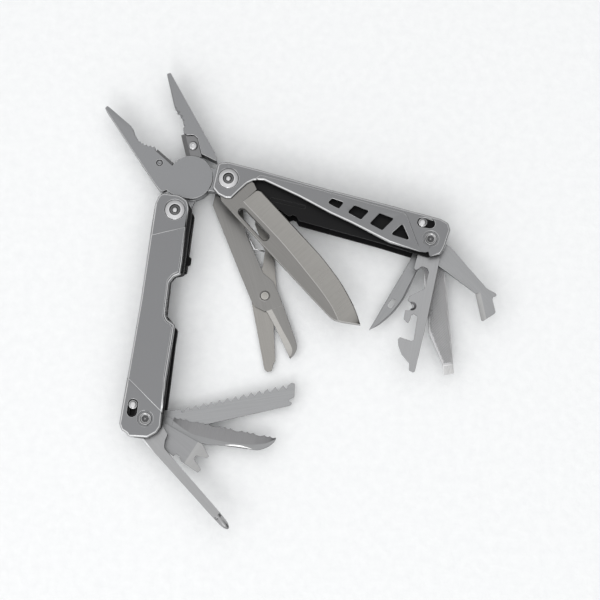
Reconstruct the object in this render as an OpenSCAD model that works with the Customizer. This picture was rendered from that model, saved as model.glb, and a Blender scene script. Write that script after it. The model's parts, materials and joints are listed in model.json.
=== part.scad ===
// Folding pliers with its tools fanned out, lying flat in XY with its front face up at z = 18.
// The jaws point up and left from the hub, handle A runs right and handle B runs down.

/* [Layout] */
// Distance from jaw pivot to tool pivot of a handle
pitch = 92.9; // [92:0.1:94]
// Distance from the hub to each handle's jaw pivot
tang = 17.2; // [17:0.1:17.6]
// Hub position, from the middle of the footprint
hub_x = -48; // [-50:0.5:-47]
// Hub position, from the middle of the footprint
hub_y = 53.55; // [52:0.05:55]
/* [Angles at rest] */
// Direction of the front jaw
front_jaw_dir = 138.7; // [138:0.1:142]
// Direction of the rear jaw
rear_jaw_dir = 103.3; // [100:0.1:104]
// Direction of handle A
handle_a_dir = -17.3; // [-19:0.1:-16]
// Direction of handle B
handle_b_dir = -97.2; // [-99:0.1:-96]
/* [Fits] */
// Radius of a jaw pivot barrel
jaw_pin_r = 2.4; // [2.2:0.1:2.6]
// Radius of a tool pivot barrel
tool_pin_r = 1.95; // [1.8:0.05:2]
// Running clearance on a radius
fit = 0.05; // [0.03:0.01:0.08]
// Radius of the hub pin
hub_r = 3; // [2.8:0.1:3.2]
/* [Hidden] */
$fn = 64;
steel = [0.62,0.63,0.64];
knife_steel = [0.66,0.65,0.62];
cutter_grey = [0.3,0.3,0.3];
screw_grey = [0.4,0.4,0.4];
black = [0.1,0.1,0.1];
shiny = [0.8,0.8,0.82];

function polar(radius, angle) = radius*[cos(angle), sin(angle)];
// Places in plan
hub = [hub_x, hub_y];
tongue_a_dir = -6.3;
tongue_b_dir = -111.7;
jaw_pivot_a = hub + polar(tang, tongue_a_dir);
jaw_pivot_b = hub + polar(tang, tongue_b_dir);
tool_pivot = [pitch, 0]; // in a handle's frame: origin at its jaw pivot, x along it
jaw_bore = jaw_pin_r+fit;
tool_bore = tool_pin_r+fit;
hub_bore = hub_r+fit;
// Heights
thickness = 18;
cut_top = 20; // where through cuts end
cover_bottom = 16.6;
screw_seat = 17;
jaw_bottom = 5.6;
jaw_top = thickness-jaw_bottom;
tongue_bottom = 6.2;
tongue_top = thickness-tongue_bottom;

/* Outlines: each is a list of [x, y, corner radius], where no radius means a sharp corner */
arc_steps = 5;
function unit(vector) = vector/norm(vector);
function flat(point) = [point[0], point[1]];
function corner_r(point) = len(point)>2 ? point[2] : 0;
// Replaces each corner that has a radius with an arc
function rounded(points) = [for (i=[0:len(points)-1])
  let(count = len(points),
      corner = flat(points[i]),
      before = unit(flat(points[(i+count-1)%count])-corner),
      after = unit(flat(points[(i+1)%count])-corner),
      radius = corner_r(points[i]),
      half = acos(max(-1,min(1,before*after)))/2)
  each (radius==0 || half>88 ? [corner] :
    let(centre = corner+unit(before+after)*radius/sin(half),
        start = corner+before*radius/tan(half)-centre,
        end = corner+after*radius/tan(half)-centre,
        start_angle = atan2(start[1],start[0]),
        sweep = (atan2(end[1],end[0])-start_angle+900)%360-180)
    [for (k=[0:arc_steps]) centre+polar(radius, start_angle+sweep*k/arc_steps)])];

/* Shapes between two heights */
module plate(bottom, top, outline) {
  translate([0,0,bottom]) linear_extrude(top-bottom) polygon(rounded(outline));
}
module cyl(bottom, top, radius, spot=[0,0]) {
  translate([spot[0],spot[1],bottom]) cylinder(h=top-bottom, r=radius);
}
module hole(radius, spot=[0,0]) { cyl(0, cut_top, radius, spot); }
module ring(bottom, top, radius, bore, spot=[0,0]) {
  difference() {
    cyl(bottom, top, radius, spot);
    cyl(bottom-1, top+1, bore, spot);
  }
}
// length is between the centres of the round ends
module slot(bottom, top, radius, length, spot, turn=0) {
  translate([spot[0],spot[1],bottom]) rotate(turn) {
    translate([-length/2,-radius,0]) cube([length,2*radius,top-bottom]);
    for (s=[-1,1]) translate([s*length/2,0,0]) cylinder(h=top-bottom, r=radius);
  }
}

/* Placing */
module at(spot, angle) { translate([spot[0],spot[1],0]) rotate(angle) children(); }
module in_a() { at(jaw_pivot_a, handle_a_dir) children(); }
module in_b() { at(jaw_pivot_b, handle_b_dir) children(); }
module tool_a(angle) { in_a() translate(tool_pivot) rotate(angle-handle_a_dir) children(); }
module tool_b(angle) { in_b() translate(tool_pivot) rotate(angle-handle_b_dir) children(); }
// Moves a part to the back face
module flip() { translate([0,0,thickness]) mirror([0,0,1]) children(); }
module both() {
  children();
  flip() children();
}

/* Hub and jaws, each jaw with x along it and the hub at the origin */
front_screw = [14.9,4.2];
rear_screw = [14,-4.2];
cutter_screw_r = 1.4;
cutter_hole_r = 1.45;
disc_r = 9.8;
grip_end = 35.8;
grip_length = 15.2;
grip_depth = 2.85;
grip_pitch = 1.62;
grip_teeth = [for (i=[0:8]) each [for (tooth=[[0,0.42],[-0.75,-0.3]])
  let(x=35.2-grip_pitch*i+tooth[0])
  [x, grip_depth*pow(sin(180*(grip_end-x)/grip_length), 1.2)+tooth[1], 0.12]]];
// Nose, hub disc and the web beside it
front_jaw_outline = concat([[50.3,0,0.5],[grip_end,0]], grip_teeth, [[20.8,0.5],[20.2,1.5]],
  [for (a=[8:-6:-250]) polar(disc_r, a)],
  [[0,10.9,2],[4.3,11.4,0.4],[5,13.6,1.5],[10,12.7],[50.3,1.6,0.5]]);
// Area around the hub where the front jaw keeps only its upper half
front_jaw_relief = concat([[5.7,14],[-14,14],[-14,-14],[4.2,-14]],
  [for (a=[-65:5:60]) polar(10, a)]);
rear_jaw_outline = [[49.2,0,0.5],[33.7,0],[32.7,-1.1,0.12],[31.7,-0.5,0.12],[30.6,-2.2,0.12],
  [29.6,-1.5,0.12],[28.4,-2.95,0.12],[27.4,-2.1,0.12],[26.1,-3.1,0.12],[25.1,-2.1,0.12],
  [23.7,-2.95,0.12],[22.7,-1.6,0.12],[20.5,-1.4,0.3],[3,-0.5],[5,-5],[9.4,-6.9],
  [4.3,-12.9,0.3],[8.5,-13,2],[49.3,-1.8,0.5]];
rear_pocket = [[21.2,1],[20.6,-1.9,0.2],[19.3,-2.5,0.5],[18.6,-5.8,1.5],[16.7,-6.9,0.8],
  [8,-7],[8,1]];
rear_cutter_outline = [[20.4,0],[20.3,-1.5],[19.1,-2.6,0.5],[18.4,-5.8,1.4],[16.6,-6.8,0.8],
  [8,-6.8],[8,0]];

module hub_pin() { color(steel) cyl(5.65, 11.4, hub_r, hub); }
// Arm from the hub to a handle's jaw pivot
module tongue(angle) {
  width = 10.4;
  at(hub, angle) {
    plate(tongue_bottom, tongue_top, [[4,-width/2],[tang,-width/2],[tang,width/2],[4,width/2]]);
    cyl(tongue_bottom, tongue_top, width/2, [tang,0]);
  }
}
module front_jaw() {
  color(steel) difference() {
    union() {
      at(hub, front_jaw_dir) difference() {
        plate(jaw_bottom, jaw_top, front_jaw_outline);
        translate([0,0,-1]) linear_extrude(10.05) polygon(front_jaw_relief);
      }
      difference() {
        tongue(tongue_a_dir);
        hole(9, hub);
        cyl(-1, 9.1, 10, hub);
      }
    }
    cyl(0, 11.45, hub_bore, hub);
    at(hub, tongue_a_dir) hole(jaw_bore, [tang,0]);
    at(hub, front_jaw_dir) {
      translate([10.4,-1,7.4]) cube([9.8,7,3.2]);
      hole(cutter_hole_r, front_screw);
    }
  }
}
module front_cutter() {
  color(cutter_grey) at(hub, front_jaw_dir) difference() {
    translate([10.5,0,7.45]) cube([9.6,5.9,3.1]);
    hole(cutter_hole_r, front_screw);
  }
}
module front_cutter_screw() {
  color(screw_grey) at(hub, front_jaw_dir) cyl(5.7, 12.3, cutter_screw_r, front_screw);
}
module rear_jaw() {
  split = 8.95; // top of the lower half of the hub
  color(steel) difference() {
    union() {
      at(hub, rear_jaw_dir) difference() {
        plate(jaw_bottom, jaw_top, rear_jaw_outline);
        hole(9);
      }
      cyl(jaw_bottom, split, disc_r, hub);
      difference() {
        tongue(tongue_b_dir);
        hole(9, hub);
        cyl(8.9, cut_top, 12.5, hub);
      }
    }
    cyl(split, cut_top, 10, hub);
    hole(hub_bore, hub);
    at(hub, tongue_b_dir) hole(jaw_bore, [tang,0]);
    at(hub, rear_jaw_dir) {
      difference() {
        plate(7.35, cut_top, rear_pocket);
        cyl(0, 21, 9.9);
      }
      hole(cutter_hole_r, rear_screw);
    }
  }
}
module rear_cutter() {
  color(steel) at(hub, rear_jaw_dir) difference() {
    plate(7.4, 11.5, rear_cutter_outline);
    hole(10.05);
    translate([0,0.2,10]) rotate([56,0,0]) cube([30,5,5]); // bevel
    hole(cutter_hole_r, rear_screw);
  }
}
module rear_cutter_screw() {
  color(shiny) at(hub, rear_jaw_dir) translate([rear_screw[0],rear_screw[1],0]) {
    cyl(6.3, 11.6, cutter_screw_r);
    translate([0,0,11.55]) rotate_extrude()
      polygon([[0,0],[2.05,0],[2.05,0.4],[1.6,0.8],[0.9,1],[0,1]]);
  }
}

/* Handle outlines */
cover_a_outline = [[-5.6,-6.1,2],[-2.3,-8.3,2],[1.4,-9,2.5],[4,-8.3,1.5],[6.2,-4.2,3],
  [8.8,0.3,3],[11.1,2.4,2],[15.2,3.6,2],[32.1,1.1],[47.6,-2.1],[58.1,-3.6],[76.3,-7,6],
  [89.4,-6.9],[92.6,-6.4,0.8],[93.6,-5.6,0.4],[94.7,-7.7,0.7],[99,-5.3,1.5],[99.7,-3],
  [100,-0.7],[100.1,6.4,1.5],[98.3,9.1,2],[94.6,10,1.5],[66,9.2],[44,8.3],[11.7,7.8],
  [-2.5,7.2,2.5],[-6.6,5.5,2]];
panel_a = [[11.4,3.5],[12.9,5.6,1],[30.4,6.6],[78.6,7.8,1.5],[80.3,6.7,1],[88,-3.5],
  [90.6,-8],[76.3,-8],[58.1,-5],[47.6,-3],[32.1,0],[15.2,2.5]];
liner_a_outline = [[-5,-5.5,2],[0,-8,2],[5,-7,2],[7.5,-3,2],[11.4,-1.5],[30.3,-7.8,1],
  [31.8,-6.6,0.5],[33.4,-6.8,0.5],[35,-8.4,1],[71.5,-7.5],[94,-7.6,2],[99,-5,1.5],
  [99.2,6,2],[94,9,1.5],[66,8.5],[11.7,7.1],[-2.5,6.6,2.5],[-6,5,2]];
cover_b_outline = [[-7,-7.6,3.2],[-6.9,1.2,5],[-4.7,5.2,3],[-1.2,6.3,2],[8.6,6.2],[22.5,6.6],
  [28.4,6.5,1],[29.8,3.9,1],[32.5,2.2,1.5],[46.8,2.5,1.5],[48.7,3.6,1.5],[50.7,7.2,1],
  [75.7,6.7],[90,7],[95.5,7.2,2],[98.3,5.8,2.5],[100.9,2.2,2.5],[101.5,-6.2,1.2],
  [100.3,-7,1.2],[99,-9.6,1.8],[96.5,-10.9,2],[70,-10],[42,-9.3],[13,-9.2],[-2,-9.1,3]];
panel_b = [[13.7,-12],[7,5.8],[27.5,5.5,1],[29,3.1,1],[31.8,1.3,2],[47.5,1.6,2],
  [49.5,2.8,2],[51.6,6.2,1.5],[74,5.7],[90.2,7.6],[75,-12]];
liner_b_outline = [[-6.2,-6.5,3],[-6,0.8,4],[-3.5,5.5,3],[-1,7.4,1.5],[27.8,7.6,1],
  [28.6,5,0.8],[32.6,2.4,1.5],[47,2.8,1.5],[50.8,7,1],[75.7,7.3],[90,7.4],[96,7.4,2],
  [101.3,0.5,1.5],[101.3,-6,1.5],[97,-10.2,1.5],[70,-9.6],[-2,-8.6,1.5]];
windows = [[[46.4,4.6,0.7],[52,4.4,0.7],[50.6,1,0.7],[45.1,2.2,0.7]],
  [[56.6,4.5,0.7],[63.7,4.1,0.7],[61.3,-0.8,0.7],[54.7,0.6,0.7]],
  [[68.2,4.5,0.7],[75.1,4,0.7],[71.6,-2.7,0.7],[65.3,-1.4,0.7]],
  [[79.2,2.8,0.7],[84.5,-3.5,0.7],[75.7,-3.3,0.7]]];
// The back of A's liner stands out a little further along its -y edge
back_liner_a_outline = [for (point=liner_a_outline)
  [point[0], point[1]-(point[0]>20 && point[1]<-6 ? 0.45 : 0), corner_r(point)]];
// The back of handle B has a wider and deeper notch, and a shorter far end
function back_b(outline, widen, deepen, shorten) = [for (point=outline)
  let(x = point[0], in_notch = x>27 && x<49)
  [x - (in_notch && x<40 ? widen : 0) - (x>98 ? shorten : 0),
   point[1] - (in_notch && x>28.5 ? deepen : 0), corner_r(point)]];

/* Covers and liners, in the handle's frame */
slot_a = [89,6.2];
slot_a_turn = 8;
slot_b = [89,-6.05];
lock_shift = 1.5; // how far a lock sits from its slot's middle, towards the jaws

// Cover with a raised middle panel, screw seats and a lock slot
module cover(outline, panel, slot_spot, turn=0) {
  difference() {
    union() {
      plate(cover_bottom, 17.6, outline);
      intersection() {
        plate(17, thickness, outline);
        plate(17.5, thickness, panel);
      }
    }
    hole(jaw_bore);
    cyl(screw_seat, cut_top, 4.6);
    hole(tool_bore, tool_pivot);
    cyl(screw_seat, cut_top, 3.5, tool_pivot);
    slot(0, cut_top, 2.15, 3.5, slot_spot, turn);
  }
}
module liner(bottom, top, outline, slot_spot, turn=0) {
  difference() {
    plate(bottom, top, outline);
    hole(jaw_bore);
    hole(tool_bore, tool_pivot);
    slot(0, cut_top, 1.2, 3.9, slot_spot, turn);
  }
}
module cover_a() {
  difference() {
    cover(cover_a_outline, panel_a, slot_a, slot_a_turn);
    for (window=windows) plate(0, cut_top, window);
  }
}
module front_cover_a() { color(steel) in_a() cover_a(); }
module back_cover_a() { color(steel) in_a() flip() cover_a(); }
module front_liner_a() {
  color(black) in_a() difference() {
    liner(13.1, 13.9, liner_a_outline, slot_a, slot_a_turn);
    plate(13.5, cut_top, [[20,-3.6,0.5],[36,-2.6,0.5],[36,-1,0.5],[20,-2,0.5]]);
  }
}
module back_liner_a() {
  color(black) in_a() liner(4.1, 4.9, back_liner_a_outline, slot_a, slot_a_turn);
}
module front_cover_b() { color(steel) in_b() cover(cover_b_outline, panel_b, slot_b); }
module back_cover_b() {
  color(steel) in_b() flip() cover(back_b(cover_b_outline, 2.4, 1.8, 1.8), panel_b, slot_b);
}
module front_liner_b() { color(black) in_b() liner(14.2, 16.55, liner_b_outline, slot_b); }
module back_liner_b() {
  color(black) in_b() liner(1.45, 3.8, back_b(liner_b_outline, 2.6, 1.2, 1.7), slot_b);
}
module side_wall_b() {
  color(black) in_b() {
    both() plate(12.5, 14.15, [[3,6.4,0.3],[24.4,6.4,0.3],[24.7,7.3,0.3],[3,7.3,0.3]]);
    plate(3.85, 5.5, [[17.4,7.2],[18.4,8.9,0.6],[21.4,8.9,0.6],[22.4,7.2]]);
  }
}

/* Pivots: a barrel with a bore, and a screw from each face */
module barrel(radius) { ring(1.05, 16.95, radius, 1.25); }
module screw_shank() { cyl(13, 17.1, 1.2); }
module jaw_screws() {
  both() {
    difference() {
      cyl(screw_seat, 17.9, 4.5);
      translate([0,0,17.25]) rotate_extrude() polygon([[2.2,0],[3.4,1],[0,1],[0,0]]);
      cyl(17.1, cut_top, 0.9);
    }
    screw_shank();
  }
}
module tool_screws() {
  both() translate([pitch,0,0]) {
    difference() {
      cyl(screw_seat, 17.8, 2.8);
      for (a=[0,60,120]) rotate(a) translate([-1.5,-0.35,17.3]) cube([3,0.7,2]);
    }
    screw_shank();
  }
}
module jaw_pivot_a() { color(steel) in_a() barrel(jaw_pin_r); }
module jaw_pivot_b() { color(steel) in_b() barrel(jaw_pin_r); }
module tool_pivot_a() { color(steel) in_a() translate(tool_pivot) barrel(tool_pin_r); }
module tool_pivot_b() { color(steel) in_b() translate(tool_pivot) barrel(tool_pin_r); }
module jaw_screws_a() { color(shiny) in_a() jaw_screws(); }
module jaw_screws_b() { color(shiny) in_b() jaw_screws(); }
module tool_screws_a() { color(shiny) in_a() tool_screws(); }
module tool_screws_b() { color(shiny) in_b() tool_screws(); }
// spans is a list of [bottom, top]
module jaw_washers(spans) { for (span=spans) ring(span[0], span[1], 4.6, jaw_bore); }
module tool_washers(spans) {
  for (span=spans) ring(span[0], span[1], 3.9, tool_bore, tool_pivot);
}
module jaw_washers_a() { color(black) in_a() jaw_washers([[4.95,6.15],[11.85,13.05]]); }
module jaw_washers_b() { color(black) in_b() jaw_washers([[3.85,6.15],[11.85,14.15]]); }
module tool_washers_a() {
  color(black) in_a() tool_washers([[1.45,4.05],[4.95,5.15],[6.85,7.45],[9.25,9.65],
    [11.25,11.55],[13.95,16.55]]);
}
module tool_washers_b() {
  color(black) in_b() tool_washers([[3.85,4.55],[6.05,6.35],[7.95,8.15],[9.85,10.05],
    [13.75,14.15]]);
}
// Cross pin with a head in each cover's slot
module lock(spot) {
  cyl(1.3, 16.7, 1, spot);
  both() {
    cyl(cover_bottom, 17.2, 1.9, spot);
    translate([spot[0],spot[1],17.2]) rotate_extrude()
      polygon([[0,0],[1.9,0],[1.9,0.3],[1.4,0.7],[0,0.8]]);
  }
}
module lock_slide_a() { color(shiny) in_a() lock(slot_a-polar(lock_shift, slot_a_turn)); }
module lock_slide_b() { color(shiny) in_b() lock(slot_b-[lock_shift,0]); }

/* Tools, each with its pivot at the origin and x along it */
module blank(bottom, top, outline, bore=tool_bore, boss_r=4.6) {
  difference() {
    union() {
      plate(bottom, top, outline);
      cyl(bottom, top, boss_r);
    }
    cyl(bottom-1, top+1, bore);
  }
}

/* Tools on handle A's jaw pivot */
knife_dir = -47.9;
scissors_dir = -72.9;
rivet_spot = [52.7,0.2];
knife_outline = [[-4,-4],[5.3,-9,1],[74,-8.6,8],[79.5,-7.2,5],[84,-4],[87.3,-1,0.4],
  [84.5,0.4,6],[77.4,3.2,14],[64.4,5.9,20],[50,7],[18.6,7,3],[12.3,5.9,2],[9,7,1],
  [2,5.4],[-4,3.5]];
frame_outline = [[-4,-4],[6.2,-10.1,0.8],[22,-8.8],[38.4,-7.5],[53.4,-6.1,2],[56,-5.2,1],
  [60.3,-0.9],[82.9,2.7,0.5],[80.9,5.8,2],[78.9,7.3,1.5],[76.5,7.5],[53,6.4,2],
  [47.5,5.6,2],[42.5,2.5,2],[22.3,0.4],[8,3],[1,5.2]];
lever_outline = [[53.8,-6.2,1],[84,-9.5,0.6],[85.3,-8.6,0.5],[85.6,-6.7,0.6],[82.9,-5.1,0.6],
  [81.7,-3.8,0.8],[79.7,-3.3,1],[68.2,-0.4],[58,3,3],[51.7,6.3,2],[45.3,7.4,2],[38.6,9],
  [20,10,2],[14,8.3,1],[20,5.5],[33.2,6.2,2],[38.9,3.5],[46,-2,2],[49.5,-5.5,2]];
spring_outline = [[22.4,0.6],[31.2,1.6],[33.6,5.8,0.2],[33.1,6.1,0.2],[30.9,2.1],[22.4,1.1]];

module knife_blade() {
  color(knife_steel) at(jaw_pivot_a, knife_dir) difference() {
    blank(14, 16.5, knife_outline, jaw_bore, 5.6);
    slot(10, cut_top, 1.7, 15, [22.8,-5.5], -0.5);
  }
}
module in_scissors() { at(jaw_pivot_a, scissors_dir) children(); }
module rivet_hole() { cyl(0, 9, 1.25, rivet_spot); }
module scissors_frame() {
  color(steel) in_scissors() difference() {
    blank(2.75, 4, frame_outline, jaw_bore);
    rivet_hole();
  }
}
module scissors_lever() {
  color(steel) in_scissors() difference() {
    plate(1.5, 2.7, lever_outline);
    rivet_hole();
  }
}
module scissors_rivet() {
  color(shiny) in_scissors() translate([rivet_spot[0],rivet_spot[1],0]) {
    cyl(1.5, 4, 1.2);
    cyl(4, 4.08, 2.3);
  }
}
module scissors_spring() { color(shiny) in_scissors() plate(2.8, 3.95, spring_outline); }

/* Tools on handle A's tool pivot */
pen_outline = [[-2,-4.1],[8,-4,1],[11,-3.4],[30.4,-2.9],[46.9,-2.4,0.3],[42.1,0.5,5],
  [33,2.9,6],[27.6,3.3,5],[13.5,1.7,6],[4,3.4]];
opener_outline = [[-1,-4.5],[7.3,-4.4,1],[13,-5,0.8],[14.3,-4.2,0.8],[11.6,-1.5,1],
  [12.4,0.9,1],[13.9,1.7,1],[20,1.3,1],[21.6,0.9,1],[25.9,-4.9,1],[27.6,-5.4,0.6],
  [28.9,-3.6,0.6],[30.4,-2.9,0.6],[32,-3.9,0.5],[32.3,-5.8,0.5],[36.2,-5.8,1],
  [37.8,-3.7,0.5],[36.4,-3,0.5],[34,-2.7,0.6],[33.2,-1.7,0.5],[34.1,0,0.8],[44.7,0,0.5],
  [45.3,-0.9,0.5],[44.5,-6.1,0.5],[45.5,-6.8,0.5],[48.2,-6.1,1],[51.8,-4.1,1.5],
  [55,-0.3,1],[58.2,0.2,0.5],[58.7,2.1,0.5],[58.1,2.8,0.5],[34,4.4],[7.5,5.5,1],[3,4.4]];
file_outline = [[-1,-4.5],[12,-4.6],[20,-5.3],[32.7,-5.8],[39.4,-6.6,2],[54.7,-2.7,0.6],
  [59,-2.6,0.2],[59,1.5,0.2],[55,1.9,0.6],[13.5,4.7,1],[0,4.6]];
hook_outline = [[-1,-4.5],[11.3,-4.1],[14.3,-3.3],[30.4,0.2,0.3],[41.1,-5.7,0.4],
  [41.8,-5.1,0.4],[42.5,0.6,0.5],[42.3,1.4,0.5],[37.4,4,0.6],[36.5,5,0.6],[37.3,6.7,0.5],
  [35.9,6.9,0.8],[32.1,5.4,2],[7.6,5.4,0.6],[6,4.8],[0,4.6]];

module pen_blade() {
  color(steel) tool_a(-122) difference() {
    blank(5.2, 6.8, pen_outline);
    slot(0, cut_top, 1.15, 2.3, [31.6,-0.2]);
  }
}
module can_opener() {
  color(steel) tool_a(-100) difference() {
    blank(11.6, 13, opener_outline);
    translate([30,-3.1,12.2]) cylinder(h=0.9, r1=0.9, r2=2.1);
  }
}
module file_driver() { color(steel) tool_a(-82) blank(7.5, 9.2, file_outline); }
module package_hook() {
  color(steel) tool_a(-50) difference() {
    blank(9.7, 11.2, hook_outline);
    // bevel on the upper face
    translate([30.4,0.2,11.2]) rotate(-28.8) translate([0,2.2,0]) rotate([24.4,0,0])
      translate([0.1,-5,0]) cube([14,5,3]);
  }
}

/* Tools on handle B's tool pivot */
saw_pitch = 3.56;
saw_slope = 0.069;
saw_tooth = [[0.42,0.5],[0.12,0],[-0.28,0.08],[-1.12,1.62],[-1.36,1.65]];
saw_teeth = [for (i=[13:-1:0]) each [for (point=saw_tooth)
  [15.8+i*saw_pitch+point[0], 1.45+i*saw_pitch*saw_slope+point[1]]]];
saw_outline = concat([[-1,-5],[4,-5.1],[26.6,-5.2],[62.4,-2.9,0.4],[63.5,-1.95,0.3],
  [62.4,-1.2,0.3],[62.25,-0.3,0.4],[64.9,0.7,0.5],[66.1,6.4,0.8],[64.6,6.9,0.9],
  [62.8,5.9,0.5]], saw_teeth, [[12.9,2.9,0.5],[4,4.3]]);
// Two short scallops and a long one, repeated from the tip. The last repeat is cut short.
scallops = [[0,0],[-1.25,-0.55],[-2.5,0],[-3.7,-0.55],[-4.9,0],[-5.9,-0.55],[-7,-0.78],
  [-8.1,-0.72],[-9.2,-0.4]];
serrations = [for (k=[0:4]) each [for (point=scallops) if (k<4 || point[0]>-5)
  [56.2-10*k+point[0], (k==0 && point[0]==0 ? 3.85 : 4.1)+point[1]]]];
serrated_outline = concat([[-1,-5],[4,-5.1],[26.2,-5,8],[35.2,-3.9,8],[49,-3.2,3],
  [53,-1.4,4],[55.8,1.4,2],[56.5,3.1]], serrations, [[11,3],[4,4.3]]);
fork_outline = [[-1,-5],[5,-5],[18.7,-4.8,0.4],[18.8,-3.3,0.4],[20.7,-3,0.6],[22.7,-4.3,0.6],
  [31.4,-3.6,0.4],[31.8,-1.6,0.4],[26.4,0,0.8],[26.3,1.7,0.8],[30.6,3.8,0.4],[30.8,5,0.4],
  [25.2,7.3,1],[23,6.8],[5.3,3.8],[2,4.5]];
driver_outline = [[-1,-5],[3.5,-5.4],[6,-6.7,0.8],[51.4,-6],[51.4,-2.3],[20.4,-2.3,4],
  [14,-1.9,2],[12.2,0.2,1.5],[11,2.7,1],[6.7,3.6,1],[3,4.2]];

module saw_blade() { color(steel) tool_b(9) blank(4.6, 6, saw_outline); }
module serrated_blade() { color(steel) tool_b(-11.4) blank(6.4, 7.9, serrated_outline); }
module wire_fork() {
  color(steel) tool_b(-39) difference() {
    blank(8.2, 9.8, fork_outline);
    // thins the prongs towards their tips
    translate([23.8,1.1,9.8]) rotate(6.4) rotate([0,8,0]) translate([0,-9,0])
      cube([10,18,3]);
  }
}
module phillips_driver() {
  color(steel) tool_b(-48.5) {
    blank(10.1, 13.7, driver_outline);
    // pointed tip with four flutes
    difference() {
      translate([51.4,-4.15,11.9]) rotate([0,90,0]) rotate_extrude()
        polygon([[0,-1],[1.75,-1],[1.8,0.8],[1.75,3.6],[1.35,5.8],[0.75,7],[0.3,7.4],[0,7.4]]);
      for (a=[0:90:270]) translate([52.6,-4.15,11.9]) rotate([a,0,0])
        translate([0,0.4,0.4]) rotate([0,-6,6]) cube([9,3,3]);
    }
  }
}

hub_pin();
front_jaw();
front_cutter();
front_cutter_screw();
rear_jaw();
rear_cutter();
rear_cutter_screw();
front_cover_a();
back_cover_a();
front_liner_a();
back_liner_a();
jaw_pivot_a();
jaw_screws_a();
tool_pivot_a();
tool_screws_a();
jaw_washers_a();
tool_washers_a();
lock_slide_a();
front_cover_b();
back_cover_b();
front_liner_b();
back_liner_b();
jaw_pivot_b();
jaw_screws_b();
tool_pivot_b();
tool_screws_b();
jaw_washers_b();
tool_washers_b();
lock_slide_b();
side_wall_b();
knife_blade();
scissors_frame();
scissors_lever();
scissors_rivet();
scissors_spring();
pen_blade();
can_opener();
file_driver();
package_hook();
saw_blade();
serrated_blade();
wire_fork();
phillips_driver();
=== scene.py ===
import math, json
import bpy, bmesh
from mathutils import Matrix, Vector
from mathutils.bvhtree import BVHTree


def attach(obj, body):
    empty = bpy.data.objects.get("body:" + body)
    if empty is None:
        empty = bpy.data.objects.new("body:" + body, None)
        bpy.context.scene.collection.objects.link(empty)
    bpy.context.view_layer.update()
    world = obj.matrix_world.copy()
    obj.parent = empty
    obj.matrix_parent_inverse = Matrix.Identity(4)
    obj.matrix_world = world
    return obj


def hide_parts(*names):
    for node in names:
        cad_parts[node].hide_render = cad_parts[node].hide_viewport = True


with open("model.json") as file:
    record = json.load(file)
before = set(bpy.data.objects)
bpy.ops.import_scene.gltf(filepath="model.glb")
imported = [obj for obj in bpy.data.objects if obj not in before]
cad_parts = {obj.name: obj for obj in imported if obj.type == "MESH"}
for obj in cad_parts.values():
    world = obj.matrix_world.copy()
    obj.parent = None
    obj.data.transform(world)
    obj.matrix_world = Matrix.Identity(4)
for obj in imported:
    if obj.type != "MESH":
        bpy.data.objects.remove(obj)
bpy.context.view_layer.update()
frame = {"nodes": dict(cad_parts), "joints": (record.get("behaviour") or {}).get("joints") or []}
N = frame["nodes"]
MM = 0.001
rad = math.radians
J = {j["name"]: j for j in frame["joints"]}
def jp(n): return Vector((J[n]["pos_m"][0], J[n]["pos_m"][1], 0))
O, PA, PB = jp("front_jaw_hinge"), jp("handle_a_fold"), jp("handle_b_fold")
TA, TB = jp("pen_blade_fold"), jp("saw_blade_fold")
DA, DB, DFJ, DRJ = -17.3, -97.2, 138.7, 103.3
def local(p, a): return Matrix.Translation(p) @ Matrix.Rotation(rad(a), 4, "Z") @ Matrix.Scale(MM, 4)

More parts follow.
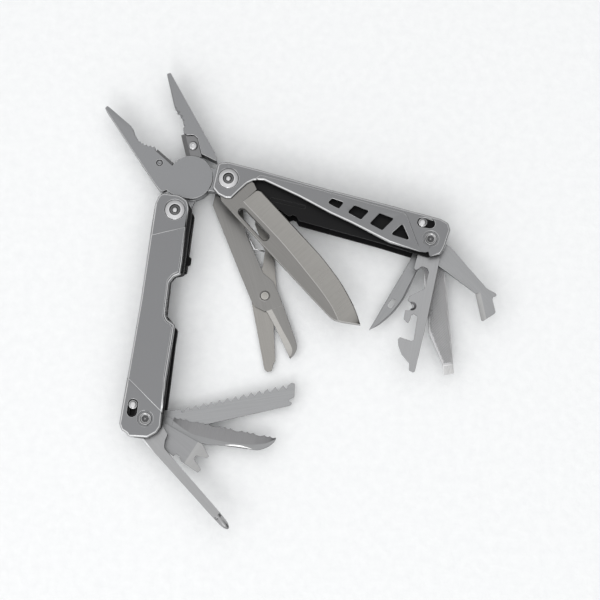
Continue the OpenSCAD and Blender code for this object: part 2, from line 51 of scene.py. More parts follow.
# ---------- materials ----------
def nodes_of(m):
    m.use_nodes = True
    nt = m.node_tree; nt.nodes.clear()
    return nt
def link(nt, a, b): nt.links.new(a, b)
def mnode(nt, kind, **kw):
    n = nt.nodes.new(kind)
    for k, v in kw.items():
        if k[0] == "_": n.inputs[k[1:].replace("_", " ")].default_value = v
        else: setattr(n, k, v)
    return n
def ramp(nt, src, p0, c0, p1, c1):
    r = nt.nodes.new("ShaderNodeValToRGB"); e = r.color_ramp.elements
    e[0].position, e[1].position = p0, p1
    e[0].color, e[1].color = (*c0, 1), (*c1, 1)
    link(nt, src, r.inputs[0]); return r.outputs[0]
def metal(name, col, rough=0.35, var=0.06, angle=0.0, brush=0.0, blast=0.0, edge=0.25, aniso=0.0, metallic=1.0, spec=0.5, edge_wear_and_sheen=(0.75, 0.75, 0.76)):
    m = bpy.data.materials.new(name); nt = nodes_of(m)
    out = mnode(nt, "ShaderNodeOutputMaterial"); b = mnode(nt, "ShaderNodeBsdfPrincipled", _Metallic=metallic, _Roughness=rough)
    b.inputs["Specular IOR Level"].default_value = spec
    b.inputs["Anisotropic"].default_value = aniso
    link(nt, b.outputs[0], out.inputs[0])
    tc = mnode(nt, "ShaderNodeTexCoord")
    mp = mnode(nt, "ShaderNodeMapping"); mp.inputs["Rotation"].default_value = (0, 0, -rad(angle))
    link(nt, tc.outputs["Object"], mp.inputs[0])
    # long fine brush lines
    st = mnode(nt, "ShaderNodeMapping"); st.inputs["Scale"].default_value = (60, 2600, 900); link(nt, mp.outputs[0], st.inputs[0])
    br = mnode(nt, "ShaderNodeTexNoise", _Scale=1.0, _Detail=4.0, _Roughness=0.6); link(nt, st.outputs[0], br.inputs[0])
    bl = mnode(nt, "ShaderNodeTexNoise", _Scale=2600.0, _Detail=3.0, _Roughness=0.7); link(nt, tc.outputs["Object"], bl.inputs[0])
    cl = mnode(nt, "ShaderNodeTexNoise", _Scale=70.0, _Detail=5.0, _Roughness=0.6); link(nt, tc.outputs["Object"], cl.inputs[0])
    # colour: cloudy handling variation, brush streaks, and lighter edges that stand for wear and for a painted
    # highlight
    c1 = ramp(nt, cl.outputs[0], 0.3, [c * (1 - var) for c in col], 0.7, [min(1, c * (1 + var)) for c in col])
    mx = mnode(nt, "ShaderNodeMix", data_type="RGBA", blend_type="MULTIPLY"); mx.inputs[0].default_value = 1.0 if brush else 0.6
    s = 0.10 if brush else 0.08
    c2 = ramp(nt, (br if brush else bl).outputs[0], 0.3, (1 - s,) * 3, 0.7, (1.0 + 0 * s,) * 3)
    link(nt, c1, mx.inputs[6]); link(nt, c2, mx.inputs[7])
    # edge mask: within 0.22 mm of an edge the colour is mixed toward the edge colour, partly wear and partly a painted
    # edge highlight
    bv = mnode(nt, "ShaderNodeBevel", samples=4); bv.inputs[0].default_value = 0.00022
    geo = mnode(nt, "ShaderNodeNewGeometry")
    dt = mnode(nt, "ShaderNodeVectorMath", operation="DOT_PRODUCT"); link(nt, bv.outputs[0], dt.inputs[0]); link(nt, geo.outputs["Normal"], dt.inputs[1])
    em = ramp(nt, dt.outputs["Value"], 0.90, (1, 1, 1), 0.995, (0, 0, 0))
    ef = mnode(nt, "ShaderNodeMath", operation="MULTIPLY"); link(nt, em, ef.inputs[0]); ef.inputs[1].default_value = edge
    m2 = mnode(nt, "ShaderNodeMix", data_type="RGBA"); link(nt, ef.outputs[0], m2.inputs[0]); link(nt, mx.outputs[2], m2.inputs[6]); m2.inputs[7].default_value = (*edge_wear_and_sheen, 1)
    link(nt, m2.outputs[2], b.inputs["Base Color"])
    rr = ramp(nt, cl.outputs[0], 0.3, (max(0, rough - 0.05),) * 3, 0.75, (rough + 0.06,) * 3); link(nt, rr, b.inputs["Roughness"])
    bp = mnode(nt, "ShaderNodeBump", _Strength=max(brush, 0.0), _Distance=0.00002); link(nt, br.outputs[0], bp.inputs["Height"])
    bq = mnode(nt, "ShaderNodeBump", _Strength=max(blast, 0.0), _Distance=0.00002); link(nt, bl.outputs[0], bq.inputs["Height"]); link(nt, bp.outputs[0], bq.inputs["Normal"])
    link(nt, bq.outputs[0], b.inputs["Normal"])
    return m

# WARM: knife grind colour, lightened as a painted highlight
SAT = (0.187, 0.189, 0.194); TOOL = (0.275, 0.278, 0.283); WARM = (0.272, 0.265, 0.252)
mats = {
    "cover": metal("satin_blasted_steel", SAT, 0.40, 0.05, blast=0.5, edge=0.10),
    # rim: brighter steel for the rounded edge bevels, a painted highlight
    "rim": metal("chamfer_painted_highlight", (0.48, 0.482, 0.487), 0.30, 0.05, blast=0.15, edge=0.1, edge_wear_and_sheen=(0.85, 0.85, 0.85)),
    "jaw": metal("jaw_steel", (0.218, 0.221, 0.227), 0.38, 0.05, blast=0.4, edge=0.10),
    # black liner: its lighter edge colour paints light lines along the liner edges as highlights
    "black": metal("black_liner", (0.005, 0.005, 0.0055), 0.5, 0.15, blast=0.3, edge=0.5, metallic=0.0, spec=0.15, edge_wear_and_sheen=(0.16, 0.16, 0.16)),
    "chrome": metal("polished_fastener", (0.44, 0.44, 0.447), 0.16, 0.03, blast=0.1, edge=0.1, edge_wear_and_sheen=(0.9, 0.9, 0.9)),
    "screw_dull": metal("tool_screw_steel", (0.30, 0.30, 0.303), 0.22, 0.05, blast=0.1, edge=0.3, edge_wear_and_sheen=(0.6, 0.6, 0.6)),
    # recess: dark steel for screw grooves and sockets, painted shade of the recess
    "recess": metal("screw_recess_painted_shade", (0.07, 0.07, 0.072), 0.35, 0.05, blast=0.1, edge=0.2, edge_wear_and_sheen=(0.3, 0.3, 0.3)),
    "bronze": metal("washer_bronze", (0.45, 0.33, 0.18), 0.35, 0.08, blast=0.2),
    # front cutter insert coloured dark, painted shade of the groove it sits in
    "cutter": metal("cutter_groove_painted_shade", (0.095, 0.095, 0.097), 0.30, 0.08, brush=0.3, angle=DFJ),
}
def tool_mat(name, angle, col=TOOL, rough=0.36): return metal(name, col, rough, 0.05, angle=angle, brush=0.6, edge=0.15)

# ---------- mesh helpers ----------
def finish_mesh(bm, name, mat, body, repl=(), weighted=True, sharp=None):
    me = bpy.data.meshes.new(name)
    bmesh.ops.recalc_face_normals(bm, faces=bm.faces)
    for f in bm.faces: f.smooth = True
    if sharp:
        for e in bm.edges:
            if len(e.link_faces) == 2 and e.calc_face_angle(0) > rad(sharp): e.smooth = False
    bm.to_mesh(me); bm.free()
    for m in (mat if isinstance(mat, (list, tuple)) else [mat]): me.materials.append(m)
    o = bpy.data.objects.new(name, me); bpy.context.scene.collection.objects.link(o)
    if weighted and not sharp:
        w = o.modifiers.new("wn", "WEIGHTED_NORMAL"); w.keep_sharp = True
    if repl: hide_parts(*repl)
    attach(o, body)
    return o
def from_node(node, dissolve=True):
    bm = bmesh.new(); bm.from_mesh(N[node].data)
    bmesh.ops.remove_doubles(bm, verts=bm.verts, dist=2e-6)
    if dissolve: bmesh.ops.dissolve_limit(bm, angle_limit=rad(0.6), verts=bm.verts, edges=bm.edges)
    return bm
def bevel(bm, w, seg=2, ang=35, where=None, mat=-1):
    es = [e for e in bm.edges if len(e.link_faces) == 2 and e.calc_face_angle(0) > rad(ang) and (not where or all(where(v.co) for v in e.verts))]
    bmesh.ops.bevel(bm, geom=es, offset=w * MM, segments=seg, profile=0.5, affect="EDGES", clamp_overlap=False, miter_outer="SHARP", material=mat)
def refine(node, body, mat, w=0.15, seg=2, ang=35, dissolve=True, where=None, sharp=None, facets=False, rim=-1):
    bm = from_node(node, dissolve); bm.normal_update()
    # facets: tilted faces take material 1, another colour of the same steel, so their brightness is painted light by
    # slope; the turned grain is the facet's own
    if facets:
        for f in bm.faces:
            if 0.5 < abs(f.normal.z) < 0.996: f.material_index = 1
    bevel(bm, w, seg, ang, where, rim)
    return finish_mesh(bm, node + "_skin", mat, body, (node,), sharp=sharp)
def refine_cover(node, body, mat, front, outer=0.85, step=0.36, hole=0.2):
    """Wide soft rounding round the outline, a soft step at the raised panel, fine edges at the openings."""
    bm = from_node(node); bm.normal_update(); tree = BVHTree.FromBMesh(bm); s = 1 if front else -1
    h = lambda z: z / MM if front else 18 - z / MM
    HEAD = local(PA, DA).inverted()
    lay = bm.edges.layers.float.new("bevel_weight_edge")
    for e in bm.edges:
        if len(e.link_faces) != 2 or e.calc_face_angle(0) < rad(35) or not e.is_convex: continue
        up = [f for f in e.link_faces if f.normal.z * s > 0.99]; side = [f for f in e.link_faces if abs(f.normal.z) < 0.3]
        if not up or not side: continue
        m = (e.verts[0].co + e.verts[1].co) / 2; n = side[0].normal.normalized()
        if h(m.z) < 17.5: continue
        q = m + n * 0.00006
        down = tree.ray_cast(Vector((q.x, q.y, 0.030 if front else -0.012)), Vector((0, 0, -s)))
        if down[0] is not None and h(down[0].z) > 17.5: w = step
        elif down[0] is not None: w = hole
        else:
            across = tree.ray_cast(Vector((q.x, q.y, 0.0172 if front else 0.0008)), Vector((n.x, n.y, 0)))
            w = hole if across[0] is not None and across[3] < 0.0095 else outer
        if w == hole and any(len(v.link_edges) > 3 for v in e.verts): w = 0.0
        k = HEAD @ m; w = 0.0 if node.endswith("_a") and w == hole and 63.5 < k.x < 75.3 else w
        w = 0.0 if node.endswith("_a") and 88 < k.x < 97.5 and k.y < -3 else w
        e[lay] = w / outer
    o = finish_mesh(bm, node + "_skin", mat, body, (node,), weighted=False)
    # the soft bevel faces take material 1, the brighter rim steel painted as a highlight
    b = o.modifiers.new("soft", "BEVEL"); b.limit_method = "WEIGHT"; b.width = outer * MM; b.segments = 4; b.use_clamp_overlap = False; b.miter_outer = "MITER_SHARP"; b.loop_slide = False; b.material = 1
    o.modifiers.new("wn", "WEIGHTED_NORMAL").keep_sharp = True
    return o
def keep_root(bm, M, x):
    p = M @ Vector((x, 0, 0)); n = (M.to_3x3() @ Vector((1, 0, 0))).normalized()
    r = bmesh.ops.bisect_plane(bm, geom=bm.verts[:] + bm.edges[:] + bm.faces[:], plane_co=p, plane_no=n, clear_outer=True)
    es = [e for e in r["geom_cut"] if isinstance(e, bmesh.types.BMEdge)]
    bmesh.ops.edgeloop_fill(bm, edges=es)
def curve(pts):
    xs = [p[0] for p in pts]; ys = [p[1] for p in pts]; n = len(pts)
    d = [(ys[i + 1] - ys[i]) / (xs[i + 1] - xs[i]) for i in range(n - 1)]
    t = [d[0]] + [0 if d[i - 1] * d[i] <= 0 else 2 * d[i - 1] * d[i] / (d[i - 1] + d[i]) for i in range(1, n - 1)] + [d[-1]]
    def f(x):
        if x <= xs[0]: return ys[0]
        if x >= xs[-1]: return ys[-1]
        i = max(k for k in range(n - 1) if xs[k] <= x); h = xs[i + 1] - xs[i]; u = (x - xs[i]) / h
        return ys[i] * (1 + 2 * u) * (1 - u) ** 2 + h * t[i] * u * (1 - u) ** 2 + ys[i + 1] * u * u * (3 - 2 * u) + h * t[i + 1] * u * u * (u - 1)
    return f
def loft(bm, M, xs, spine, grind, edge, z0, z1, top_only=False, c=0.12, micro=0.5, mz=0.12, nick=None, line=0.0):
    """Blade with a flat by the spine and a hollow down to the edge; strips: 0 flat, 1 ground, 2 bright strip painted as
    a highlight.
    """
    zm, h = (z0 + z1) / 2, (z1 - z0) / 2
    rings = []
    for x in xs:
        s, g, e = spine(x), grind(x), edge(x)
        q = 1 if e > s else -1; wd = abs(e - s)
        cc = min(c, wd * 0.2); nk = nick(x) if nick else 0
        g = min(max(q * g, q * s + cc * 1.05 + line), q * e - 0.02) * q
        mi = min(micro, abs(e - g) * 0.4)
        ze = 0.03; zi = 0.04 + mz * mi / micro
        if top_only: prof = [(s, -h + cc, 0), (s, h - cc, 0), (s + q * cc, h, 0), (g, h, 1), (e - q * 0.05, h - 0.4, 0), (e, h - 0.46, 0), (e, -h, 0), (s + q * cc, -h, 0)]
        else:
            # with a shoulder line the spine chamfer and a thin strip at the grind shoulder take material 2, a painted
            # highlight
            prof = [(s, h - cc, 2 if line else 0), (s + q * cc, h, 0)]
            # the nick slope takes material 2, a painted highlight
            if nick: prof += [(s + q * (cc + 0.03), h - 0.01 - 0.5 * nk, 2 if nk > 0.05 else 0), (s + q * (cc + 0.06 + nk), h, 0)]
            if line: prof += [(g - q * line, h, 2), (g, h - 0.03, 1)]
            else: prof += [(g, h, 1)]
            prof += [(e - q * mi, zi, 1), (e, ze, 1), (e, -ze, 1), (e - q * mi, -zi, 1), (g, -h, 0), (s + q * cc, -h, 0), (s, -h + cc, 0)]
        rings.append([(bm.verts.new(M @ Vector((x, y, zm + z))), m) for y, z, m in prof])
    k = len(rings[0])
    for a, b in zip(rings, rings[1:]):
        for i in range(k):
            f = bm.faces.new((a[i][0], a[(i + 1) % k][0], b[(i + 1) % k][0], b[i][0])); f.material_index = a[i][1]
    bm.faces.new([v for v, m in rings[0]]); bm.faces.new([v for v, m in rings[-1]])
def frange(a, b, st):
    n = max(1, round((b - a) / st)); return [a + (b - a) * i / n for i in range(n + 1)]
def prism(bm, M, pts, z0, z1):
    a = [bm.verts.new(M @ Vector((x, y, z0))) for x, y in pts]; b = [bm.verts.new(M @ Vector((x, y, z1))) for x, y in pts]
    n = len(pts)
    for i in range(n): bm.faces.new((a[i], a[(i + 1) % n], b[(i + 1) % n], b[i]))
    bm.faces.new(a); bm.faces.new(b)
def flare(bm, M, lo, z0, hi, z1):
    a = [bm.verts.new(M @ Vector((x, y, z0))) for x, y in lo]; b = [bm.verts.new(M @ Vector((x, y, z1))) for x, y in hi]
    for i in range(len(lo)): bm.faces.new((a[i], a[(i + 1) % len(lo)], b[(i + 1) % len(lo)], b[i]))
    bm.faces.new(a); bm.faces.new(b)
def slot_pts(cx, cy, l, r, n=12):
    P = []
    for s, a0 in ((1, -90), (-1, 90)):
        P += [(cx + s * l / 2 + r * math.cos(rad(a0 + 180 * i / n)), cy + r * math.sin(rad(a0 + 180 * i / n))) for i in range(n + 1)]
    return P
def cut(bm, cutter):
    """bm minus cutter, solved exactly."""
    def ob(b, n):
        me = bpy.data.meshes.new(n); bmesh.ops.recalc_face_normals(b, faces=b.faces); b.to_mesh(me); b.free()
        o = bpy.data.objects.new(n, me); bpy.context.scene.collection.objects.link(o); return o
    a, c = ob(bm, "tmp_a"), ob(cutter, "tmp_c")
    m = a.modifiers.new("b", "BOOLEAN"); m.operation = "DIFFERENCE"; m.solver = "EXACT"; m.object = c
    ev = a.evaluated_get(bpy.context.evaluated_depsgraph_get()); me = bpy.data.meshes.new_from_object(ev)
    r = bmesh.new(); r.from_mesh(me)
    for o in (a, c): bpy.data.objects.remove(o)
    return r
def lathe(bm, M, prof, seg=72, star=None):
    """Profile of (r, z) points turned about local z."""
    rings = []
    for r, z in prof:
        if r < 1e-6: rings.append([bm.verts.new(M @ Vector((0, 0, z)))])
        else: rings.append([bm.verts.new(M @ Vector(((star(r, 2 * math.pi * i / seg) if star else r) * math.cos(2 * math.pi * i / seg), (star(r, 2 * math.pi * i / seg) if star else r) * math.sin(2 * math.pi * i / seg), z))) for i in range(seg)])
    for a, b in zip(rings, rings[1:]):
        for i in range(seg):
            j = (i + 1) % seg
            if len(a) == 1 and len(b) == 1: break
            if len(a) == 1: bm.faces.new((a[0], b[j], b[i]))
            elif len(b) == 1: bm.faces.new((a[i], a[j], b[0]))
            else: bm.faces.new((a[i], a[j], b[j], b[i]))
def place(P, a, x, y): return local(P, a) @ Matrix.Translation((x, y, 0))
FLIP = Matrix.Translation((0, 0, 18)) @ Matrix.Scale(-1, 4, (0, 0, 1))

# ---------- covers, liners, jaws ----------
for k, D in (("a", DA), ("b", DB)):
    body = "handle_" + k
    for s in ("front", "back"):
        refine_cover(f"{s}_cover_{k}", body, [mats["cover"], mats["rim"]], s == "front")
        refine(f"{s}_liner_{k}", body, mats["black"], 0.12, 2)
refine("side_wall_b", "handle_b", mats["black"], 0.12, 2)
for k in ("front", "rear"):
    JM = local(O, DFJ if k == "front" else DRJ).inverted()
    # jaw edge bevels take the rim steel, painted highlight
    refine(k + "_jaw", k + "_jaw", [mats["jaw"], mats["rim"]], 0.17, 2, 30, rim=1, where=lambda v: (JM @ v).xy.length > 3.3 and not (20.2 < (JM @ v).x < 36.2 and -3.6 < (JM @ v).y < 3.6))
# front cutter in the dark steel, painted groove shade
refine("front_cutter", "front_jaw", mats["cutter"], 0.1, 2)
# rear cutter: tilted faces lighter, a painted highlight
refine("rear_cutter", "rear_jaw", [tool_mat("cutter_bright", DRJ, (0.175, 0.175, 0.178)), tool_mat("cutter_facet_painted_highlight", DRJ + 90, (0.215, 0.215, 0.218))], 0.08, 1, sharp=20, facets=True)
for n in ("jaw_washers_a", "jaw_washers_b", "tool_washers_a", "tool_washers_b"):
    N[n].data.materials.clear(); N[n].data.materials.append(mats["bronze"])
for n in ("jaw_pivot_a", "jaw_pivot_b", "tool_pivot_a", "tool_pivot_b", "scissors_spring"):
    N[n].data.materials.clear(); N[n].data.materials.append(mats["chrome"])
for n in ("hub_pin",):
    N[n].data.materials.clear(); N[n].data.materials.append(mats["jaw"])

# ---------- fasteners ----------
JAW_SCREW = [(0, 13), (1.2, 13), (1.2, 17), (4.42, 17), (4.5, 17.05), (4.5, 17.3), (4.42, 17.42), (4.2, 17.52), (3.8, 17.64), (3.1, 17.8), (2.85, 17.86), (2.62, 17.86), (2.5, 17.84), (2.42, 17.66), (2.3, 17.2), (2.2, 17.05), (1.35, 17.02), (1.26, 17.1), (1.18, 17.4), (1.0, 17.54), (0.65, 17.64), (0.3, 17.68), (0, 17.68)]
TOOL_SCREW = [(0, 13), (1.2, 13), (1.2, 17), (2.72, 17), (2.8, 17.06), (2.8, 17.46), (2.68, 17.62), (2.5, 17.68), (2.3, 17.66), (2.1, 17.5), (1.9, 17.4), (1.62, 17.38)]
TORX = [(1.52, 17.34), (1.42, 17.1), (1.0, 17.03), (0.62, 17.03), (0.5, 17.2), (0.3, 17.32), (0, 17.34)]
star = lambda r, t: r * (0.82 + 0.18 * math.cos(6 * t))
LOCK = [(0, 9), (1, 9), (1, 16.6), (1.95, 16.6), (2.02, 16.68), (2.02, 17.3), (1.9, 17.52), (1.72, 17.62), (1.55, 17.62), (1.45, 17.7), (1.3, 17.84), (1.0, 17.95), (0.6, 18), (0, 18)]
for k, P, T, D in (("a", PA, TA, DA), ("b", PB, TB, DB)):
    for what, where, body in (("jaw_screws", P, "handle_" + k), ("tool_screws", T, "handle_" + k), ("lock_slide", None, "lock_" + k)):
        bm = bmesh.new()
        for F in (Matrix(), FLIP):
            if what == "jaw_screws":
                lathe(bm, local(where, D) @ F, JAW_SCREW, 96)
                # the groove ring of the jaw screw heads takes the recess steel, painted shade
                for f in bm.faces:
                    q = f.calc_center_median(); h = abs(q.z / MM - 9)
                    if 1.2 < (q - where).xy.length / MM < 2.45 and 7.9 < h < 8.85: f.material_index = 1
            elif what == "tool_screws":
                lathe(bm, local(where, D) @ F, TOOL_SCREW, 72); n0 = len(bm.faces); lathe(bm, local(where, D) @ F, [(1.62, 17.38)] + TORX, 72, lambda r, t: star(r, t) if r < 1.6 else r)
                # the Torx socket faces take the recess steel, painted shade
                for f in list(bm.faces)[n0:]:
                    q = f.calc_center_median()
                    if 0.55 < (q - where).xy.length / MM < 1.5: f.material_index = 1
            else:
                sx, sy, sa = (89, 6.2, 8) if k == "a" else (89, -6.05, 0)
                lathe(bm, local(P, D) @ Matrix.Translation((sx - 1.5 * math.cos(rad(sa)), sy - 1.5 * math.sin(rad(sa)), 0)) @ F, LOCK, 64)
                a0 = len(bm.faces); ca, sa_ = math.cos(rad(sa)), math.sin(rad(sa))
                prism(bm, local(P, D) @ Matrix.Translation((sx - 1.05 * ca, sy - 1.05 * sa_, 0)) @ Matrix.Rotation(rad(sa), 4, "Z") @ F, slot_pts(0, 0, 6.3, 1.85), *((13.97, 14.17) if k == "a" else (13.75, 14.0)))
                for f in list(bm.faces)[a0:]: f.material_index = 2
        bmesh.ops.remove_doubles(bm, verts=bm.verts, dist=1e-7)
        n = what + "_" + k
        finish_mesh(bm, n + "_turned", [mats["screw_dull" if what == "tool_screws" else "chrome"], mats["recess"], mats["black"]], body, (n,), weighted=False, sharp=50)
bm = bmesh.new()
lathe(bm, place(O, DRJ, 14, -4.2), [(0, 6.3), (1.4, 6.3), (1.4, 11.55), (2.0, 11.55), (2.05, 11.62), (2.05, 11.95), (1.9, 12.2), (1.55, 12.42), (1.1, 12.54), (0.95, 12.54), (0.8, 12.3), (0, 12.28)], 64)
finish_mesh(bm, "rear_cutter_screw_turned", mats["chrome"], "rear_jaw", ("rear_cutter_screw",), sharp=50, weighted=False)
bm = bmesh.new()
lathe(bm, place(O, DFJ, 14.9, 4.2), [(0, 5.7), (1.25, 5.7), (1.25, 12.1), (1.1, 12.26), (0.75, 12.3), (0.55, 12.3), (0.4, 12.2), (0, 12.18)], 48)
finish_mesh(bm, "front_cutter_screw_turned", mats["jaw"], "front_jaw", ("front_cutter_screw",), sharp=50, weighted=False)
SC = jp("scissors_action"); bm = bmesh.new()
lathe(bm, local(SC, 0), [(0, 1.5), (1.2, 1.5), (1.2, 4.0), (2.35, 4.0), (2.4, 4.03), (2.3, 4.09), (1.9, 4.1), (1.7, 4.04), (1.5, 4.04), (1.3, 4.09), (0, 4.09)], 64)
for f in bm.faces:
    if 1.75 < (f.calc_center_median() - SC).xy.length / MM < 2.2 and f.calc_center_median().z > 4 * MM: f.material_index = 1
rivet = metal("rivet_steel", (0.30, 0.292, 0.276), 0.25, 0.05, aniso=0.85); tg = rivet.node_tree.nodes.new("ShaderNodeTangent"); tg.direction_type = "RADIAL"; tg.axis = "Z"
for nd in rivet.node_tree.nodes:
    if nd.type == "BSDF_PRINCIPLED": link(rivet.node_tree, tg.outputs[0], nd.inputs["Tangent"])
finish_mesh(bm, "scissors_rivet_turned", [rivet, metal("rivet_groove", (0.09, 0.088, 0.085), 0.4)], "scissors", ("scissors_rivet",), sharp=60, weighted=False)

# ---------- blades ----------
KN = -47.9
def blade(node, body, M, xs, spine, grind, edge, z0, z1, mat, root_w=0.12, cutter=None, **kw):
    bm = from_node(node); keep_root(bm, M, xs[0]); bevel(bm, root_w, 2, 50)
    b2 = bmesh.new(); loft(b2, M, xs, spine, grind, edge, z0, z1, **kw)
    if cutter:
        for c in cutter: b2 = cut(b2, c)
    me = bpy.data.meshes.new("t"); bmesh.ops.recalc_face_normals(b2, faces=b2.faces); b2.to_mesh(me); b2.free(); bm.from_mesh(me)
    return finish_mesh(bm, node + "_ground", mat, body, (node,), weighted=False, sharp=8)
M = local(PA, KN)
c = bmesh.new(); prism(c, M, slot_pts(22.8, -5.5, 15, 1.7), 10, 20)
c2 = bmesh.new(); flare(c2, M, slot_pts(22.8, -5.5, 15, 1.6), 16.08, slot_pts(22.8, -5.5, 15, 2.15), 16.62)
# knife: the grind takes a lighter colour of the blade steel, a painted highlight; its turned grain is real
blade("knife_blade", "knife", M, frange(12.0, 87.3, 0.8),
      curve([(5.3, -9), (40, -8.8), (74, -8.6), (77.2, -8.3), (80, -6.9), (83.5, -4.2), (87.3, -1.1)]),
      curve([(12, -1.9), (32.7, -1.6), (60.1, -3), (71.6, -4.4), (77.6, -6.0), (80, -6.8), (87.3, -1.1)]),
      curve([(12, 5.6), (12.6, 6.4), (14, 7), (33, 7.05), (50, 7), (64.4, 5.9), (77.4, 3.1), (84.5, 0.4), (87.3, -1)]), 14, 16.5, [tool_mat("knife_steel", KN, (0.185, 0.181, 0.174), 0.32), tool_mat("knife_ground_painted_highlight", KN + 90, WARM, 0.3), tool_mat("knife_shoulder_painted_highlight", KN, (0.48, 0.472, 0.457), 0.3)], cutter=[c, c2], c=0.3, micro=0.4, mz=0.42, line=0.2)
M = local(TA, -122); c = bmesh.new(); prism(c, M, slot_pts(31.6, -0.2, 2.3, 1.15), 0, 20)
# pen blade: the grind takes a lighter colour of the same steel, a painted highlight; its turned grain is real
blade("pen_blade", "pen_blade", M, frange(14, 46.9, 0.7),
      curve([(8, -4), (11, -3.4), (30.4, -2.9), (46.9, -2.45)]), curve([(14, 1.4), (22, 2.0), (27.6, 2.5), (33, 2.1), (42.1, -0.3), (46.9, -2.4)]),
      curve([(14, 1.8), (20, 2.8), (27.6, 3.3), (33, 2.9), (42.1, 0.4), (46.9, -2.35)]), 5.2, 6.8, [tool_mat("pen_steel", -122, (0.253, 0.256, 0.261)), tool_mat("pen_ground_painted_highlight", -32, (0.30, 0.30, 0.305))], cutter=[c])
M = local(TB, -11.4)
# long scallop and two short teeth, repeated every 10 mm from the tip
def scallop(x):
    k = (56.2 - x) % 10.0
    for a, b, d in ((0, 2.5, 0.6), (2.5, 4.9, 0.6), (4.9, 10.0, 0.85)):
        if a <= k <= b: return d * math.sin(math.pi * (k - a) / (b - a)) ** 0.7
    return 0
# serrated blade: nail-nick slope in bright steel, a painted highlight
blade("serrated_blade", "serrated_blade", M, frange(11.0, 56.44, 0.12),
      curve([(4, -5.1), (26.2, -5), (35.2, -3.95), (49, -3.1), (53, -1.3), (55.2, 0.8), (56.2, 2.3), (56.44, 3.0)]), curve([(11, 2.2), (17, -0.6), (22, -2.0), (35, -2.3), (44, -1.6), (52, 0.3), (56.44, 3.2)]),
      lambda x: (4.1 - (0.25 if x > 56 else 0)) - scallop(x) * (1 if x < 56.2 else 0), 6.4, 7.9,
      [tool_mat("serrated_steel", -12, (0.243, 0.246, 0.25)), tool_mat("serrated_ground", 78, (0.212, 0.212, 0.216)), tool_mat("serrated_nick_painted_highlight", -12, (0.52, 0.52, 0.52), 0.3)], micro=0.1,
      nick=lambda x: 0.85 * math.sin(math.pi * (x - 35) / 12.4) ** 0.8 if 35 < x < 47.4 else 0)
M = local(PA, -72.9)
# scissors: the tip bevel takes a lighter colour of the same steel, a painted highlight; its turned grain is real
blade("scissors_frame", "scissors", M, frange(59.4, 82.8, 0.8),
      curve([(59.4, 6.8), (70, 7.2), (76.5, 7.4), (79.3, 6.9), (81.4, 5.2), (82.8, 2.9)]), curve([(59.4, 1.4), (70, 3.3), (79, 4.8), (82.8, 2.85)]),
      curve([(59.4, -1.3), (60.3, -0.9), (82.8, 2.7)]), 2.75, 4.0, [tool_mat("scissor_steel", -72.9, (0.203, 0.2, 0.194), 0.34), tool_mat("scissor_ground_painted_highlight", 17, (0.36, 0.352, 0.338), 0.34)], top_only=True)
refine("scissors_lever", "scissors_lever", tool_mat("scissor_lever_steel", -78, (0.258, 0.25, 0.237), 0.34), 0.1, 2)

# ---------- small tools ----------
# can opener: tilted bevel faces darker, painted shade; turned grain is real
refine("can_opener", "can_opener", [tool_mat("can_opener_steel", -100, (0.298, 0.30, 0.305)), tool_mat("can_opener_bevel_painted_shade", -10, (0.14, 0.14, 0.144))], 0.1, 2, facets=True)
# hook: tilted facets lighter, a painted highlight; turned grain is real
refine("package_hook", "package_hook", [tool_mat("hook_steel", -50), tool_mat("hook_facet_painted_highlight", 61, (0.33, 0.33, 0.33), 0.36)], 0.08, 2, facets=True)
refine("saw_blade", "saw_blade", tool_mat("saw_steel", 9), 0.04, 1)
# fork: tilted facet lighter, a painted highlight; turned grain is real
refine("wire_fork", "wire_fork", [tool_mat("fork_steel", -39, (0.25, 0.252, 0.257)), tool_mat("fork_facet_painted_highlight", 51, (0.32, 0.32, 0.32), 0.36)], 0.1, 2, facets=True)
PHM = local(TB, -48.5).inverted()
# driver edge bevels take the rim steel, painted highlight
refine("phillips_driver", "phillips_driver", [tool_mat("phillips_steel", -48.5, (0.285, 0.286, 0.29)), mats["rim"]], 0.36, 2, 40, sharp=20, rim=1, where=lambda v: 5 < (PHM @ v).x < 51.39 and ((PHM @ v).x > 14 or (PHM @ v).y < -5))
# file: smooth blank with a raised crossed cut on both faces and a bright flat tip
FM = local(TA, -82)
bm = from_node("file_driver"); bevel(bm, 0.12, 2)
tip_n = (FM.to_3x3() @ Vector((1, 0, 0))).normalized(); o0 = FM @ Vector((54.9, 0, 0))
bmesh.ops.bisect_plane(bm, geom=bm.verts[:] + bm.edges[:] + bm.faces[:], plane_co=o0, plane_no=tip_n)
for f in bm.faces:
    if (f.calc_center_median() - o0).dot(tip_n) > 0: f.material_index = 1
def inside_file(x, y):
    lo = -5.0 if x < 20 else (-5.0 - (x - 20) * 0.04 if x < 38.5 else -6.0 + (x - 38.5) * 0.235)
    hi = 4.2 - (x - 13.5) * 0.068
    return 9 < x < 54.2 and lo + 0.3 < y < hi - 0.12
pt = 0.62
for side in (1, -1):
    zb = 9.2 if side > 0 else 7.5
    for i in range(-90, 130):
        for j in range(-90, 130):
            x = (i + j) * pt * 0.62; y = (i - j) * pt * 0.78
            if 8 < x < 56 and -8 < y < 6 and inside_file(x, y):
                rim = [bm.verts.new(FM @ Vector((x + dx, y + dy, zb - side * 0.002))) for dx, dy in ((pt * 0.6, 0), (0, pt * 0.75), (-pt * 0.6, 0), (0, -pt * 0.75))]
                ap = bm.verts.new(FM @ Vector((x + 0.08, y, zb + side * 0.17)))
                for q in range(4): bm.faces.new((rim[q], rim[(q + 1) % 4], ap) if side > 0 else (rim[(q + 1) % 4], rim[q], ap))
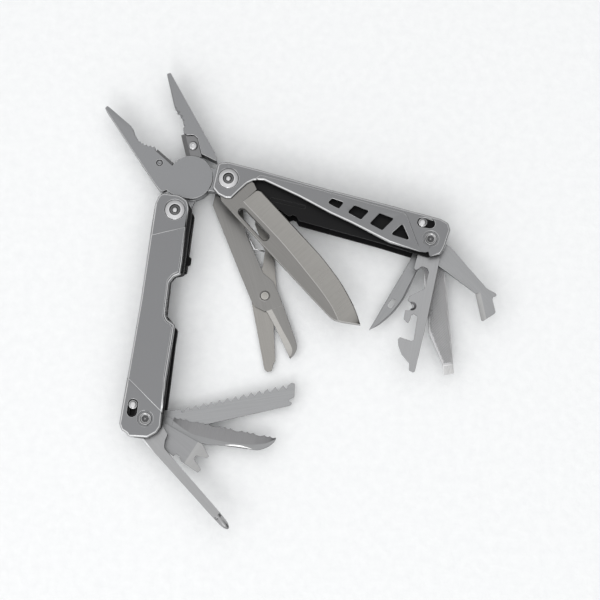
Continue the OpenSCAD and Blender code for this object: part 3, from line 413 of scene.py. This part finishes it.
for side in (1, -1):
    zb = 9.2 if side > 0 else 7.5
    for i in range(6):
        y = -2.35 + i * 0.64
        a = [bm.verts.new(FM @ Vector((x, y + dy, zb - side * 0.002))) for x, dy in ((55.2, 0), (58.85, 0), (58.85, 0.5), (55.2, 0.5))]
        b = [bm.verts.new(FM @ Vector((x, y + dy, zb + side * 0.09))) for x, dy in ((55.5, 0.12), (58.7, 0.12), (58.7, 0.38), (55.5, 0.38))]
        for f in [bm.faces.new((a[q], a[(q + 1) % 4], b[(q + 1) % 4], b[q])) for q in range(4)] + [bm.faces.new(b)]: f.material_index = 1
finish_mesh(bm, "file_driver_cut", [tool_mat("file_steel", -82, (0.45, 0.45, 0.456), 0.4), tool_mat("file_tip", -82, (0.57, 0.57, 0.57), 0.28)], "file_driver", ("file_driver",), weighted=False, sharp=25)

# ---------- stage ----------
bpy.ops.mesh.primitive_plane_add(size=6); floor = bpy.context.object; floor.name = "floor"
fm = bpy.data.materials.new("paper"); nt = nodes_of(fm)
out = mnode(nt, "ShaderNodeOutputMaterial"); b = mnode(nt, "ShaderNodeBsdfPrincipled", _Roughness=0.75); link(nt, b.outputs[0], out.inputs[0])
b.inputs["Specular IOR Level"].default_value = 0.25
tc = mnode(nt, "ShaderNodeTexCoord"); n1 = mnode(nt, "ShaderNodeTexNoise", _Scale=260.0, _Detail=6.0, _Roughness=0.55); link(nt, tc.outputs["Object"], n1.inputs[0])
link(nt, ramp(nt, n1.outputs[0], 0.3, (0.85, 0.86, 0.868), 0.7, (0.89, 0.90, 0.905)), b.inputs["Base Color"])
bp = mnode(nt, "ShaderNodeBump", _Strength=0.35, _Distance=0.0006); link(nt, n1.outputs[0], bp.inputs["Height"]); link(nt, bp.outputs[0], b.inputs["Normal"])
floor.data.materials.append(fm)

# ---------- light ----------
w = bpy.data.worlds.new("studio"); bpy.context.scene.world = w; w.use_nodes = True; nt = w.node_tree; nt.nodes.clear()
out = mnode(nt, "ShaderNodeOutputWorld"); bg = mnode(nt, "ShaderNodeBackground"); link(nt, bg.outputs[0], out.inputs[0])
tc = mnode(nt, "ShaderNodeTexCoord")
def mth(op, a, b):
    n = mnode(nt, "ShaderNodeMath", operation=op)
    for k, v in ((0, a), (1, b)):
        if isinstance(v, float): n.inputs[k].default_value = v
        else: link(nt, v, n.inputs[k])
    return n.outputs[0]
sx = mnode(nt, "ShaderNodeSeparateXYZ"); link(nt, tc.outputs["Generated"], sx.inputs[0])
south = mth("POWER", mth("MAXIMUM", mth("MULTIPLY", sx.outputs[1], -1.0), 0.0), 1.3)
west = mth("POWER", mth("MAXIMUM", mth("MULTIPLY", sx.outputs[0], -1.0), 0.0), 1.2)
east = mth("MAXIMUM", sx.outputs[0], 0.0)
up = mth("POWER", mth("MAXIMUM", sx.outputs[2], 0.0), 2.0)
val = mth("ADD", mth("ADD", mth("MULTIPLY", south, 0.42), mth("MULTIPLY", west, 0.16)), mth("SUBTRACT", mth("ADD", 0.15, mth("MULTIPLY", up, 0.9)), mth("MULTIPLY", east, 0.4)))
val = mth("MAXIMUM", val, 0.04)
link(nt, val, bg.inputs[0]); bg.inputs[1].default_value = 1.56
def area(name, loc, energy, size, tgt=(0, 0, 0)):
    l = bpy.data.lights.new(name, "AREA"); l.energy = energy; l.size = size
    o = bpy.data.objects.new(name, l); bpy.context.scene.collection.objects.link(o)
    o.location = loc; o.rotation_euler = (Vector(tgt) - Vector(loc)).to_track_quat("-Z", "Y").to_euler()
area("front_key", (-0.2, -1.05, 1.1), 2.4, 0.4)
area("left_key", (-1.0, -0.5, 0.95), 1.2, 0.4)

# ---------- camera ----------
cam = bpy.data.objects.new("camera", bpy.data.cameras.new("camera")); bpy.context.scene.collection.objects.link(cam)
C = Vector((13.7, -133.5, 746.4)) * MM; T = Vector((0.5, -1.45, 9.0)) * MM
F = (T - C).normalized(); R = F.cross(Vector((0, 1, 0))).normalized(); U = R.cross(F)
cam.matrix_world = Matrix.Translation(C) @ Matrix((R, U, -F)).transposed().to_4x4()
cam.data.sensor_width = 36; cam.data.lens = 18 / (132.0 * MM / (T - C).length); cam.data.clip_start = 0.01; cam.data.clip_end = 20
bpy.context.scene.camera = cam
bpy.context.scene.view_settings.view_transform = "Standard"
